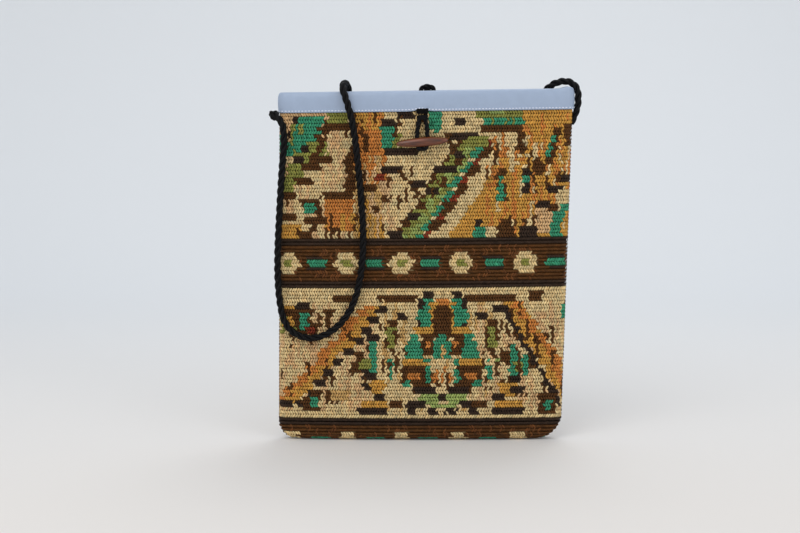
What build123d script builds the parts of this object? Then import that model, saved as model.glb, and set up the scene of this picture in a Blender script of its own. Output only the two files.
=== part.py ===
"""A flat woven shoulder pouch with a bound mouth, a toggle and loop closure and a twisted cord strap.

X runs along the mouth, +Y goes from the front wall to the back wall, +Z is up. The origin is the
middle of the flat base that the pouch stands on. All sizes are in millimetres.
"""

import math
import os

from build123d import *

# --- driving sizes -------------------------------------------------------------------------------
pouch_height = 245.0
corner_left_top = -100.2
corner_left_low = -102.7
corner_right_top = 102.7
corner_right_low = 96.7
corner_radius_left = 10.0
corner_radius_right = 15.0
base_lift = 2.0  # how far the ends of the base rise off the table
base_flat_left = -74.0
base_flat_right = 68.0

cloth_thick = 2.8  # woven tapestry cloth
lining_thick = 0.5
binding_thick = 0.8
binding_height = 14.0

depth_middle = 9.2  # from the middle plane to the face of the cloth, at X = 0
depth_end = 4.6  # the same at the ends of the mouth
reach = 105.0  # half the width of the plan, where the end depth is reached
base_round = 4.5  # rounding of the cloth where it turns under the base
fold_height = 12.0  # the folded base strip reaches this high
seam_width = 4.5  # width of the turned-in side seam
seam_round = 2.4
running_gap = 0.3  # between bodies that move against each other

thread_thick = 0.5
seam_thread_width = 1.6

cord = 3.6  # the thin cord of the toggle and the closing loop
hang_x = -1.7
hang_height = 227.2  # swing axis of the toggle cord
swing_limit = 145.0  # degrees that the toggle swings up from rest
sway_drop = 1.9  # from the swing axis down to the sway axis
whipping_half = 3.7  # half the width of the bound top of the toggle cord
strand_half = 3.5  # from the sway axis out to each strand
toggle_drop = 17.2  # from the swing axis to the toggle's middle
toggle_length = 36.0
toggle_radius = 3.3
toggle_tip_radius = 1.3
toggle_tilt = 4.5  # degrees, right end up
cord_tail = 5.2  # how far below the toggle's middle the cord turns back
cord_fold = 1.9  # bend radius there

loop_width = 14.0
loop_top = 248.6
loop_place = 2.0
loop_root = 230.4
tack_height = 8.0

strap_cord = 5.0
knot_radius = 4.3

# The shoulder cord: from the knot at the left seam down in front of the pouch and up again, over
# the mouth, in a long loop behind the pouch, and round the corner into the right seam.
strap_route = [
    (-104.2, -3.8, 228.6),
    (-97.8, -9.8, 225.6),
    (-96.6, -9.0, 211.0),
    (-98.6, -8.6, 190.0),
    (-100.4, -8.3, 163.0),
    (-102.4, -8.1, 128.0),
    (-101.6, -8.3, 102.0),
    (-97.5, -9.0, 81.5),
    (-85.0, -10.0, 73.0),
    (-71.0, -10.8, 74.0),
    (-56.0, -11.5, 85.0),
    (-46.5, -11.9, 104.0),
    (-42.2, -12.2, 132.0),
    (-43.0, -12.4, 162.0),
    (-45.6, -12.6, 192.0),
    (-48.6, -12.9, 220.0),
    (-53.4, -13.3, 238.0),
    (-56.4, -12.2, 246.4),
    (-55.9, -6.6, 249.9),
    (-54.4, 6.4, 250.1),
    (-52.8, 12.6, 245.8),
    (-52.0, 13.5, 237.0),
    (-51.0, 12.9, 217.0),
    (-48.6, 12.4, 182.0),
    (-46.8, 12.5, 138.0),
    (-39.0, 12.8, 93.0),
    (-23.0, 13.0, 54.0),
    (1.0, 13.1, 26.0),
    (27.0, 12.9, 20.0),
    (49.0, 12.4, 38.0),
    (61.0, 12.0, 74.0),
    (65.0, 11.8, 116.0),
    (71.0, 11.6, 160.0),
    (75.0, 11.5, 197.0),
    (77.6, 12.0, 224.0),
    (82.5, 11.4, 243.0),
    (90.0, 7.7, 250.4),
    (99.8, 3.0, 252.0),
    (106.0, 0.6, 246.9),
    (106.5, 0.0, 236.0),
    (103.8, 1.2, 227.0),
    (101.8, 2.6, 222.5),
]

rim = pouch_height - binding_thick
binding_low = pouch_height - binding_height
lining_face = cloth_thick + lining_thick
bound_face = lining_face + binding_thick
front, back = -1, 1

# --- outlines ------------------------------------------------------------------------------------


def edge_x(left, height):
    """Where a side edge of the pouch is at a height."""
    low, top = (
        (corner_left_low, corner_left_top) if left else (corner_right_low, corner_right_top)
    )
    return low + (top - low) * height / pouch_height


def outline(inset):
    """The pouch seen from the front, open upwards, with every edge moved in by inset."""
    above = pouch_height + 20.0
    with BuildSketch(Plane.XZ) as face:
        with BuildLine():
            Polyline(
                (edge_x(True, above), above),
                (edge_x(True, base_lift), base_lift),
                (base_flat_left, 0),
                (base_flat_right, 0),
                (edge_x(False, base_lift), base_lift),
                (edge_x(False, above), above),
                close=True,
            )
        make_face()
        low_corners = face.vertices().filter_by(lambda v: abs(v.Y - base_lift) < 0.01)
        fillet(low_corners.sort_by(Axis.X)[0], corner_radius_left)
        low_corners = face.vertices().filter_by(lambda v: abs(v.Y - base_lift) < 0.01)
        fillet(low_corners.sort_by(Axis.X)[-1], corner_radius_right)
        if inset:
            offset(amount=-inset, kind=Kind.INTERSECTION)
    return face.sketch


def wall_plan(side, outer, inner, floor):
    """A strip between two shallow arcs, seen from above, outer and inner being depths into the cloth."""
    with BuildSketch(Plane.XY.offset(floor)) as strip:
        with BuildLine():
            ThreePointArc(
                (-reach, side * (depth_end - outer)),
                (0, side * (depth_middle - outer)),
                (reach, side * (depth_end - outer)),
            )
            Line((reach, side * (depth_end - outer)), (reach, side * (depth_end - inner)))
            ThreePointArc(
                (reach, side * (depth_end - inner)),
                (0, side * (depth_middle - inner)),
                (-reach, side * (depth_end - inner)),
            )
            Line((-reach, side * (depth_end - inner)), (-reach, side * (depth_end - outer)))
        make_face()
    return strip.sketch


def pouch_plan(inset, floor):
    """The whole pouch seen from above, with its faces moved in by inset."""
    end, middle = depth_end - inset, depth_middle - inset
    with BuildSketch(Plane.XY.offset(floor)) as plan:
        with BuildLine():
            ThreePointArc((-reach, -end), (0, -middle), (reach, -end))
            Line((reach, -end), (reach, end))
            ThreePointArc((reach, end), (0, middle), (-reach, end))
            Line((-reach, end), (-reach, -end))
        make_face()
    return plan.sketch


def base_section(inset):
    """The folded base seen from the side: upright walls that turn under into a flat base."""
    wide, turn = depth_middle - inset, base_round - inset * 0.5
    with BuildSketch(Plane.YZ) as section:
        with Locations((0, (inset + fold_height * 2) / 2)):
            RectangleRounded(wide * 2, fold_height * 2 - inset, turn)
    return section.sketch


def wall(side, outer, inner, low, high, margin):
    """One wall of cloth, from low to high, with its ends margin inside the pouch's outline."""
    with BuildPart() as cloth:
        extrude(wall_plan(side, outer, inner, low), amount=high - low)
        extrude(outline(margin), amount=depth_middle * 2, both=True, mode=Mode.INTERSECT)
    return cloth.part


def base_block(inset):
    """The bottom of the pouch as one solid, with every face moved in by inset."""
    with BuildPart() as block:
        extrude(pouch_plan(inset, 0), amount=fold_height)
        extrude(outline(inset), amount=depth_middle * 2, both=True, mode=Mode.INTERSECT)
        extrude(base_section(inset), amount=reach * 2, both=True, mode=Mode.INTERSECT)
    return block.part


def trough(inset, thick):
    """The strip that turns under the base and holds the two walls together."""
    hollow = base_block(inset + thick)
    with BuildPart() as strip:
        add(base_block(inset))
        add(hollow, mode=Mode.SUBTRACT)
    return strip.part


def mouth_ring(inset, margin):
    """A block as high as the binding, as large as the pouch with its faces and its ends moved in."""
    with BuildPart() as ring:
        extrude(pouch_plan(inset, binding_low), amount=binding_height)
        extrude(outline(margin), amount=depth_middle * 2, both=True, mode=Mode.INTERSECT)
    return ring.part


def save(part, name):
    """Labels a finished piece and writes it as one STEP file."""
    part.label = name
    export_step(part, f"parts/{name}.step")


os.makedirs("parts", exist_ok=True)

# --- the woven cloth and its lining --------------------------------------------------------------
front_margin = seam_width + running_gap
front_low = fold_height + running_gap
save(trough(0.0, cloth_thick), "base_fold")
save(trough(cloth_thick, lining_thick), "lining_base")
save(wall(back, 0.0, cloth_thick, fold_height, rim, seam_width), "back_panel")
save(wall(back, cloth_thick, lining_face, fold_height, rim, seam_width), "back_lining")
save(wall(front, 0.0, cloth_thick, front_low, rim, front_margin), "front_panel")
save(wall(front, cloth_thick, lining_face, front_low, rim, front_margin), "front_lining")

# --- the side seams ------------------------------------------------------------------------------


def side_seam(left):
    """A side edge of the pouch: both cloths turned in, standing on the base strip."""
    height = binding_low - fold_height
    with BuildPart() as seam:
        with BuildSketch(Plane.XZ):
            add(outline(0.0))
            add(outline(seam_width), mode=Mode.SUBTRACT)
        extrude(amount=depth_end, both=True)
        with Locations((-reach if left else reach, 0, (fold_height + binding_low) / 2)):
            Box(reach, depth_end * 4, height, mode=Mode.INTERSECT)
        long_edges = seam.edges().filter_by(lambda e: e.length > height * 0.9)
        fillet(long_edges.group_by(Axis.X)[0 if left else -1], seam_round)
    return seam.part


def seam_thread(left):
    """The thread that closes a side seam, along its outer face."""
    out = -thread_thick if left else thread_thick
    low, top = fold_height + 8.0, binding_low - 14.0
    with BuildPart() as thread:
        with BuildSketch(Plane.XZ):
            with BuildLine():
                Polyline(
                    (edge_x(left, low), low),
                    (edge_x(left, top), top),
                    (edge_x(left, top) + out, top),
                    (edge_x(left, low) + out, low),
                    close=True,
                )
            make_face()
        extrude(amount=seam_thread_width / 2, both=True)
    return thread.part


seam_left = side_seam(True)
seam_right = side_seam(False)
save(seam_left, "side_seam_left")
save(seam_right, "side_seam_right")
save(seam_thread(True), "seam_thread_left")
save(seam_thread(False), "seam_thread_right")

# --- the binding round the mouth -----------------------------------------------------------------
with BuildPart() as front_binding:
    extrude(wall_plan(front, -binding_thick, bound_face, binding_low), amount=binding_height)
    extrude(
        wall_plan(front, 0.0, lining_face, binding_low), amount=rim - binding_low, mode=Mode.SUBTRACT
    )
    extrude(outline(front_margin), amount=depth_middle * 2, both=True, mode=Mode.INTERSECT)
    top_face = front_binding.faces().sort_by(Axis.Z)[-1]
    fillet(top_face.edges().filter_by(lambda e: e.length > reach), binding_thick * 0.9)
save(front_binding.part, "front_binding")

bound_block = mouth_ring(-binding_thick, -binding_thick)
mouth = mouth_ring(bound_face, seam_width)
front_room = split(mouth_ring(-binding_thick * 2, seam_width), bisect_by=Plane.XZ, keep=Keep.TOP)
back_cloth = wall(back, 0.0, lining_face, binding_low, rim, seam_width)
with BuildPart() as back_binding:
    add(bound_block)
    for room in (mouth, front_room, back_cloth):
        add(room, mode=Mode.SUBTRACT)
save(back_binding.part, "back_binding")


def topstitch(side, margin):
    """The thread line just above the binding's lower edge."""
    low = binding_low + 0.6
    return wall(side, -binding_thick - thread_thick, -binding_thick, low, low + thread_thick * 2, margin)


save(topstitch(front, front_margin + 1.0), "front_topstitch")
save(topstitch(back, seam_width + 1.0), "back_topstitch")

# --- the toggle on its cord ----------------------------------------------------------------------
cord_half = cord / 2
hang_y = -(depth_middle + running_gap + cord_half)
toggle_y = -(depth_middle + running_gap * 2 + toggle_radius)
lean = math.degrees(math.asin((hang_y - toggle_y) / toggle_drop))
# The plane of the hanging cord: local x runs along X, local y runs up the cord.
hang_plane = Plane((hang_x, hang_y, hang_height), x_dir=(1, 0, 0), z_dir=(0, -1, 0))
hang_plane = hang_plane.rotated((-lean, 0, 0))
swung_plane = hang_plane.rotated((-swing_limit, 0, 0))

root_low = hang_height + cord_half + running_gap
with BuildPart() as cord_root:
    with Locations((hang_x, -depth_middle, root_low)):
        Box(
            whipping_half * 2,
            cord,
            binding_low - root_low,
            align=(Align.CENTER, Align.MAX, Align.MIN),
        )
    with Locations(swung_plane * Plane((0, 0, cord_half + running_gap))):
        Box(
            whipping_half * 4,
            whipping_half * 4,
            whipping_half * 4,
            align=(Align.CENTER, Align.CENTER, Align.MAX),
            mode=Mode.SUBTRACT,
        )
save(cord_root.part, "toggle_cord_root")

with BuildPart() as whipping:
    with BuildSketch(hang_plane):
        with Locations((0, -sway_drop)):
            Circle(whipping_half)
        with Locations((0, -sway_drop / 2)):
            Rectangle(whipping_half * 2, sway_drop)
        with Locations((0, whipping_half / 2)):
            Rectangle(whipping_half * 3, whipping_half, mode=Mode.SUBTRACT)
    extrude(amount=cord_half, both=True)
    with Locations(hang_plane):
        Cylinder(cord_half, whipping_half * 2, rotation=(0, 90, 0))
save(whipping.part, "toggle_whipping")

with BuildPart() as drop_cord:
    cord_start = -(sway_drop + whipping_half * 0.7)
    cord_bend = -(toggle_drop - toggle_radius - cord_half)
    cord_low = -(toggle_drop + cord_tail)
    with BuildLine(hang_plane) as drop_path:
        FilletPolyline(
            (-cord_half, cord_start),
            (-strand_half, cord_bend),
            (-strand_half, cord_low),
            (strand_half, cord_low),
            (strand_half, cord_bend),
            (cord_half, cord_start),
            radius=[10.0, cord_fold, cord_fold, 10.0],
        )
    with BuildSketch(Plane(drop_path.line @ 0, z_dir=drop_path.line % 0)):
        Circle(cord_half)
    sweep()
    with Locations(hang_plane * Plane((0, -sway_drop, 0))):
        Cylinder(whipping_half + running_gap, cord * 3, mode=Mode.SUBTRACT)
save(drop_cord.part, "toggle_cord")

with BuildPart() as toggle:
    middle = hang_plane.from_local_coords((0, -toggle_drop, 0))
    tilted = Plane(middle, x_dir=(1, 0, 0), z_dir=(0, -1, 0)).rotated((0, -toggle_tilt, 0))
    half = toggle_length / 2
    with BuildSketch(tilted):
        with BuildLine():
            Line((-half, 0), (-half, toggle_tip_radius))
            ThreePointArc((-half, toggle_tip_radius), (0, toggle_radius), (half, toggle_tip_radius))
            Line((half, toggle_tip_radius), (half, 0))
            Line((half, 0), (-half, 0))
        make_face()
    revolve(axis=Axis(tilted.origin, tilted.x_dir))
    with Locations(hang_plane * Plane((0, -toggle_drop, 0))):
        with Locations((-strand_half, 0), (strand_half, 0)):
            Cylinder(cord_half, toggle_radius * 4, rotation=(90, 0, 0), mode=Mode.SUBTRACT)
save(toggle.part, "toggle")

# --- the closing loop inside the back wall -------------------------------------------------------
loop_y = depth_middle - bound_face - running_gap - cord_half
leg = loop_width / 2 - cord_half
arch = loop_top - cord_half - leg

foot = loop_root + cord_half

with BuildPart() as closing_loop:
    with BuildLine(Plane.XZ.offset(-loop_y)) as loop_path:
        Line((loop_place - leg, foot), (loop_place - leg, arch))
        ThreePointArc((loop_place - leg, arch), (loop_place, arch + leg), (loop_place + leg, arch))
        Line((loop_place + leg, arch), (loop_place + leg, foot))
    with BuildSketch(Plane(loop_path.line @ 0, z_dir=loop_path.line % 0)):
        Circle(cord_half)
    sweep()
    with Locations((loop_place - leg, loop_y, foot), (loop_place + leg, loop_y, foot)):
        Sphere(cord_half)
save(closing_loop.part, "closing_loop")

tack_low = loop_root - running_gap - tack_height
with BuildPart() as loop_tack:
    with Locations((loop_place, loop_y - cord_half, tack_low)):
        Box(
            loop_width,
            depth_middle,
            tack_height,
            align=(Align.CENTER, Align.MIN, Align.MIN),
        )
    add(wall(back, -depth_middle, lining_face, 0, rim, 0), mode=Mode.SUBTRACT)
save(loop_tack.part, "loop_tack")

# --- the shoulder cord ---------------------------------------------------------------------------


def bend_radii(route):
    """The largest arc that each corner of the route leaves room for."""
    points = [Vector(*p) for p in route]
    radii = []
    for before, here, after in zip(points, points[1:], points[2:]):
        turn = math.radians((here - before).get_angle(after - here))
        shorter = min((here - before).length, (after - here).length)
        radii.append(0.45 * shorter / math.tan(turn / 2))
    return radii


with BuildPart() as strap:
    with BuildLine() as strap_path:
        FilletPolyline(*strap_route, radius=bend_radii(strap_route))
    strap_wire = strap_path.wires()[0]
    with BuildSketch(Plane(strap_wire @ 0, z_dir=strap_wire % 0)):
        Circle(strap_cord / 2)
    sweep()
save(strap.part, "strap")

section = math.pi * strap_cord**2 / 4
print("strap length", round(strap_wire.length, 1))
print("strap volume over section times length", round(strap.part.volume / section / strap_wire.length, 4))
print("strap radii", [round(r, 1) for r in bend_radii(strap_route)])

with BuildPart() as knot:
    with Locations(strap_route[0]):
        Sphere(knot_radius, rotation=(0, 90, 0))
    for neighbour in (strap.part, seam_left, back_binding.part):
        add(neighbour, mode=Mode.SUBTRACT)
save(knot.part, "strap_knot")
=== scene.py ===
import math

import bpy
import numpy as np
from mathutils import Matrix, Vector


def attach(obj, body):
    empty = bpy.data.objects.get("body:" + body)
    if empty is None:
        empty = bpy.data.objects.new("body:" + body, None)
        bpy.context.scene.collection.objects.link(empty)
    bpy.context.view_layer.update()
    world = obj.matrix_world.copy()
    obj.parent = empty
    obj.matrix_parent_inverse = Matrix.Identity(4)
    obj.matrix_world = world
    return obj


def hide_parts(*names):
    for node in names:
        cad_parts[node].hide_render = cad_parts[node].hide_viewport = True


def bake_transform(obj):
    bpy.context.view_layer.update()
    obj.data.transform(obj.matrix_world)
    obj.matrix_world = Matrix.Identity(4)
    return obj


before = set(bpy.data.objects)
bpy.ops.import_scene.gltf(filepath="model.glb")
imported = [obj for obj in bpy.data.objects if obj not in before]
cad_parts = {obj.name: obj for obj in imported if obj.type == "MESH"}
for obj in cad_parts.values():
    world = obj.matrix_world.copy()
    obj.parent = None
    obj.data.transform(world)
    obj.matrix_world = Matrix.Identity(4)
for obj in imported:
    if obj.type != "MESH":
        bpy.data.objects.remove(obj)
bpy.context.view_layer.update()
scene = bpy.context.scene
mm = 0.001

# shape of the pouch, in millimetres, as the CAD has it
pouch = dict(
    high=245.0,
    leftTop=-100.2,
    leftLow=-102.7,
    rightTop=102.7,
    rightLow=96.7,
    cornerLeft=10.0,
    cornerRight=15.0,
    lift=2.0,
    flatLeft=-74.0,
    flatRight=68.0,
    depthMiddle=9.2,
    depthEnd=4.6,
    reach=105.0,
    edgeRound=5.0,
    bindingLow=231.0,
    foldHigh=12.0,
    skew=0.0145,
)


def linear(colour):
    values = np.asarray(colour, float) / 255
    return np.where(values <= 0.04045, values / 12.92, ((values + 0.055) / 1.055) ** 2.4)


def inset(x, z):
    left = x - (pouch["leftLow"] + (pouch["leftTop"] - pouch["leftLow"]) * z / pouch["high"])
    right = pouch["rightLow"] + (pouch["rightTop"] - pouch["rightLow"]) * z / pouch["high"] - x
    onLeft = np.clip((pouch["flatLeft"] - x) / (pouch["flatLeft"] - pouch["leftLow"]), 0, 1)
    onRight = np.clip((x - pouch["flatRight"]) / (pouch["rightLow"] - pouch["flatRight"]), 0, 1)
    low = z - pouch["lift"] * (onLeft**2 + onRight**2)
    found = []
    for side, radius in ((left, pouch["cornerLeft"]), (right, pouch["cornerRight"])):
        rounded = radius - np.hypot(radius - side, radius - low)
        inCorner = (side < radius) & (low < radius)
        found.append(np.where(inCorner, rounded, np.minimum(side, low)))
    return np.minimum(*found)


def fullDepth(x):
    return pouch["depthMiddle"] - (pouch["depthMiddle"] - pouch["depthEnd"]) * (x / pouch["reach"]) ** 2


def halfDepth(x, z):
    share = np.clip(inset(x, z) / pouch["edgeRound"], 0, 1)
    return fullDepth(x) * np.sqrt(1 - (1 - share) ** 2)


def skewed(places):
    # the mouth rises a little to the right, the base stays level
    places = np.array(places, float)
    places[:, 2] += pouch["skew"] * places[:, 0] * np.clip(places[:, 2] / pouch["high"], 0, 1.1)
    return places


def arcLength(*axes):
    steps = np.sqrt(sum(np.diff(a) ** 2 for a in axes))
    return np.concatenate([[0], np.cumsum(steps)])


def unit(v):
    return v / np.maximum(np.linalg.norm(v, axis=-1, keepdims=True), 1e-12)


def newMesh(name, places, faces, material=None):
    mesh = bpy.data.meshes.new(name)
    mesh.from_pydata([tuple(p) for p in places], [], [tuple(f) for f in faces], shade_flat=False)
    if material:
        mesh.materials.append(material)
    return mesh


def newPiece(name, mesh):
    piece = bpy.data.objects.new(name, mesh)
    scene.collection.objects.link(piece)
    return piece


def gridFaces(rows, columns, closed=False):
    faces = []
    across = columns if closed else columns - 1
    for i in range(rows - 1):
        for j in range(across):
            k = (j + 1) % columns
            faces.append((i * columns + j, i * columns + k, (i + 1) * columns + k, (i + 1) * columns + j))
    return faces


# ---- materials
bumpDeep = 0.0003


def put(node, values):
    for key, value in values.items():
        node.inputs[key].default_value = value


def wire(tree, *wires):
    for start, output, end, entry in wires:
        tree.links.new(start.outputs[output], end.inputs[entry])


def newMaterial(name):
    material = bpy.data.materials.new(name)
    material.use_nodes = True
    tree = material.node_tree
    return material, tree, tree.nodes, tree.nodes["Principled BSDF"]


def fibreGroup():
    # fine fibre noise, as a value and as a bump
    group = bpy.data.node_groups.new("fibres", "ShaderNodeTree")
    for socket, way, kind in (
        ("Scale", "INPUT", "Float"),
        ("Strength", "INPUT", "Float"),
        ("Normal", "OUTPUT", "Vector"),
        ("Value", "OUTPUT", "Float"),
    ):
        group.interface.new_socket(socket, in_out=way, socket_type="NodeSocket" + kind)
    entry = group.nodes.new("NodeGroupInput")
    leave = group.nodes.new("NodeGroupOutput")
    place = group.nodes.new("ShaderNodeTexCoord")
    noise = group.nodes.new("ShaderNodeTexNoise")
    put(noise, {"Detail": 4})
    bump = group.nodes.new("ShaderNodeBump")
    put(bump, {"Distance": bumpDeep})
    wire(
        group,
        (place, "Object", noise, "Vector"),
        (entry, "Scale", noise, "Scale"),
        (noise, "Fac", bump, "Height"),
        (entry, "Strength", bump, "Strength"),
        (bump, "Normal", leave, "Normal"),
        (noise, "Fac", leave, "Value"),
    )
    return group


fibres = fibreGroup()


def cloth(name, colour, scale, strength, contrast, roughness, sheen=0.0, tinted=False, gloss=0.5):
    material, tree, nodes, shader = newMaterial(name)
    grain = nodes.new("ShaderNodeGroup")
    grain.node_tree = fibres
    put(grain, {"Scale": scale, "Strength": strength})
    tone = nodes.new("ShaderNodeMapRange")
    put(tone, {"To Min": 1 - contrast, "To Max": 1 + contrast})
    mix = nodes.new("ShaderNodeVectorMath")
    mix.operation = "SCALE"
    wire(tree, (grain, "Value", tone, "Value"), (tone, "Result", mix, "Scale"))
    if tinted:
        tint = nodes.new("ShaderNodeAttribute")
        tint.attribute_name = "tint"
        wire(tree, (tint, "Color", mix, 0))
    else:
        put(mix, {0: linear(colour)})
    wire(tree, (mix, "Vector", shader, "Base Color"), (grain, "Normal", shader, "Normal"))
    put(
        shader,
        {
            "Roughness": roughness,
            "Sheen Weight": sheen,
            "Sheen Roughness": 0.5,
            "Specular IOR Level": gloss,
        },
    )
    return material


woolMaterial = cloth("wool", None, 900, 0.5, 0.22, 0.8, sheen=0.03, tinted=True, gloss=0.2)
# the backing's tint is painted shade: the stitch colours darkened for the gaps between stitches
backingMaterial = cloth("backing", None, 700, 0.6, 0.3, 0.9, tinted=True, gloss=0.1)
liningMaterial = cloth("lining", (138, 153, 176), 500, 0.3, 0.08, 0.75, sheen=0.1)
bindingMaterial = cloth("binding", (158, 174, 198), 260, 0.25, 0.05, 0.45, sheen=0.05)
threadMaterial = cloth("thread", (222, 228, 243), 1500, 0.3, 0.1, 0.55)
seamMaterial = cloth("seamThread", (72, 44, 24), 1500, 0.4, 0.2, 0.7)
cordMaterial = cloth("blackCord", (3, 3, 5), 1400, 0.7, 0.35, 0.65, gloss=0.2)


def woodMaterial():
    material, tree, nodes, shader = newMaterial("toggleWood")
    place = nodes.new("ShaderNodeTexCoord")
    stretch = nodes.new("ShaderNodeMapping")
    put(stretch, {"Scale": (60, 700, 700)})
    streaks = nodes.new("ShaderNodeTexNoise")
    put(streaks, {"Scale": 1, "Detail": 5})
    ramp = nodes.new("ShaderNodeValToRGB")
    ramp.color_ramp.elements[0].position = 0.33
    ramp.color_ramp.elements[0].color = (*linear((48, 20, 8)), 1)
    ramp.color_ramp.elements[1].position = 0.72
    ramp.color_ramp.elements[1].color = (*linear((136, 66, 26)), 1)
    bump = nodes.new("ShaderNodeBump")
    put(bump, {"Strength": 0.25, "Distance": bumpDeep})
    wire(
        tree,
        (place, "Object", stretch, "Vector"),
        (stretch, "Vector", streaks, "Vector"),
        (streaks, "Fac", ramp, "Fac"),
        (ramp, "Color", shader, "Base Color"),
        (streaks, "Fac", bump, "Height"),
        (bump, "Normal", shader, "Normal"),
    )
    put(shader, {"Roughness": 0.32, "Coat Weight": 0.3, "Coat Roughness": 0.15})
    return material


# ---- the weave: one cell for each stitch, columns from the middle, rows down from the binding
wool = dict(
    cream=(216, 190, 138),
    gold=(200, 148, 66),
    orange=(196, 124, 58),
    pink=(208, 170, 122),
    brown=(84, 51, 18),
    black=(52, 37, 26),
    teal=(58, 142, 106),
    olive=(138, 138, 66),
    lime=(152, 168, 94),
    red=(130, 52, 28),
    tan=(196, 158, 98),
    rust=(104, 62, 28),
)
woolNames = list(wool)
chart = dict(half=64, rows=104, stitchWide=1.8, stitchHigh=2.5, seed=11, light=0.13, warm=0.03)
weave = np.full((chart["rows"], chart["half"] * 2 + 1), woolNames.index("cream"))


def bar(tone, first, last, top, low):
    # columns first to last, rows top up to low
    weave[top:low, first + chart["half"] : last + 1 + chart["half"]] = woolNames.index(tone)


def bars(tone, *patches):
    for patch in patches:
        bar(tone, *patch)


def pair(tone, first, last, top, low, middle=7):
    bar(tone, first, last, top, low)
    bar(tone, 2 * middle - last, 2 * middle - first, top, low)


def steps(tone, column, wide, top, high, shift, count):
    for i in range(count):
        start = round(column + i * shift)
        bar(tone, start, start + wide - 1, top + i * high, top + (i + 1) * high)


def rosette(column, row):
    bar("cream", column - 2, column + 2, row - 3, row + 3)
    bar("cream", column - 3, column + 3, row - 2, row + 2)
    bar("cream", column - 4, column + 4, row - 1, row + 1)
    bar("olive", column - 1, column + 1, row - 1, row + 1)


def streaks(tone, first, last, top, low, share, tall=6):
    # single columns of stitches in another shade, as the yarn shows through
    for column in range(first, last + 1):
        row = top + int(chance.integers(0, tall))
        while row < low:
            run = int(chance.integers(2, tall + 1))
            if chance.random() < share:
                bar(tone, column, column, row, min(row + run, low))
            row += run


def diagonal(tone, column, wide, top, low, slope, extra=0):
    for row in range(top, low):
        start = round(column + (row - top) * slope) + int(chance.integers(0, extra + 1))
        bar(tone, start, start + wide - 1, row, row + 1)


def beltEdge(row):
    # right edge of the broad diagonal, which starts in row 8
    return round(24 - (row - 8) * 25 / 26)


chance = np.random.default_rng(31)

# upper field: cream on the left, a broad stepped diagonal, gold on the right
bar("pink", -64, -30, 0, 12)
bar("cream", -38, -16, 4, 24)
streaks("pink", -60, -20, 4, 35, 0.32)
for row in range(0, 35):
    edge = beltEdge(row) if row >= 8 else 36
    bar("gold", edge + 11, 64, row, row + 1)
    bar("cream", edge + 4, edge + 10, row, row + 1)
bar("cream", 25, 38, 6, 13)
bar("gold", 36, 64, 0, 9)
streaks("cream", 26, 58, 4, 34, 0.22)
streaks("orange", 24, 60, 0, 35, 0.25)
streaks("brown", 24, 56, 5, 35, 0.07, 4)
bar("gold", -26, -16, 0, 5)
bar("orange", -26, -16, 5, 12)
bar("tan", -26, -16, 12, 35)
streaks("orange", -26, -15, 0, 20, 0.5)
streaks("brown", -26, -15, 0, 34, 0.16, 5)
streaks("pink", -24, -12, 12, 35, 0.35)
streaks("gold", -26, -16, 24, 35, 0.4)
steps("teal", -48, 10, 1, 2, -1.2, 3)
steps("teal", -51, 9, 6, 2, -1.4, 3)
steps("black", -50, 2, 1, 2, -1.2, 5)
steps("brown", -38, 3, 2, 2, -1.9, 5)
steps("teal", -59, 4, 6, 2, -0.4, 4)
streaks("olive", -52, -40, 1, 12, 0.2, 4)
bar("olive", -37, -30, 0, 3)
bar("brown", -37, -29, 3, 5)
bar("olive", -45, -38, 8, 12)
bar("black", -47, -45, 9, 11)
bar("olive", -50, -43, 11, 14)
bar("brown", -44, -36, 12, 14)
bar("olive", -53, -47, 14, 18)
bar("brown", -47, -40, 14, 16)
bar("black", -50, -47, 12, 14)
bar("brown", -52, -43, 18, 20)
bar("olive", -55, -51, 18, 22)
bar("brown", -54, -50, 22, 24)
diagonal("brown", -36, 2, 4, 12, -0.9)
bar("brown", -29, -27, 9, 21)
streaks("brown", -30, -27, 0, 35, 0.5)
bar("brown", -39, -29, 22, 24)
bar("orange", -38, -28, 24, 33)
streaks("gold", -38, -28, 24, 33, 0.3)
streaks("brown", -39, -27, 24, 35, 0.16, 5)
bar("brown", -48, -41, 24, 26)
bar("teal", -46, -43, 25, 28)
bars("brown", (-42, -40, 26, 30), (-46, -38, 29, 31), (-44, -42, 31, 33), (-55, -50, 28, 30))
bar("gold", -60, -48, 31, 35)
bar("brown", -48, -44, 33, 35)
streaks("brown", -56, -40, 24, 35, 0.1, 4)
bars("black", (-10, -4, 0, 2), (-16, -12, 2, 4))
bar("teal", -16, -11, 4, 10)
bar("olive", -12, -10, 6, 11)
bar("black", -15, -3, 10, 12)
bars("teal", (2, 6, 0, 5), (3, 5, 5, 6))
diagonal("brown", 0, 1, 0, 4, -0.6)
diagonal("brown", -9, 1, 1, 7, -0.6)
bar("black", 12, 15, 2, 4)
bar("brown", 8, 10, 6, 8)
bar("black", 10, 20, 6, 8)
diagonal("brown", 9, 2, 8, 14, 0.6)
for row in range(8, 35):
    edge = beltEdge(row)
    bar("olive", edge - 10, edge - 2, row, row + 1)
    bar("brown", edge - 11, edge - 10, row, row + 1)
    if row % 4 != 1:
        bar("teal", edge - 2, edge, row, row + 1)
    if row % 5 < 3:
        bar("brown", edge + 1, edge + 4, row, row + 1)
    else:
        bar("red", edge + 1, edge + 2, row, row + 1)
diagonal("lime", 16, 3, 9, 35, -0.97, 3)
bar("olive", 20, 37, 0, 2)
bar("lime", 26, 31, 0, 1)
bar("teal", 23, 37, 2, 4)
streaks("olive", 23, 37, 2, 4, 0.3, 2)
bar("brown", 22, 39, 4, 6)
streaks("orange", 26, 39, 4, 6, 0.3, 2)
bar("olive", 17, 24, 7, 10)
bar("black", 12, 15, 11, 13)
bar("brown", 12, 14, 13, 15)
bar("black", 4, 12, 15, 17)
bar("brown", 6, 8, 18, 21)
bars("black", (-6, 0, 19, 21), (1, 5, 21, 23))
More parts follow.
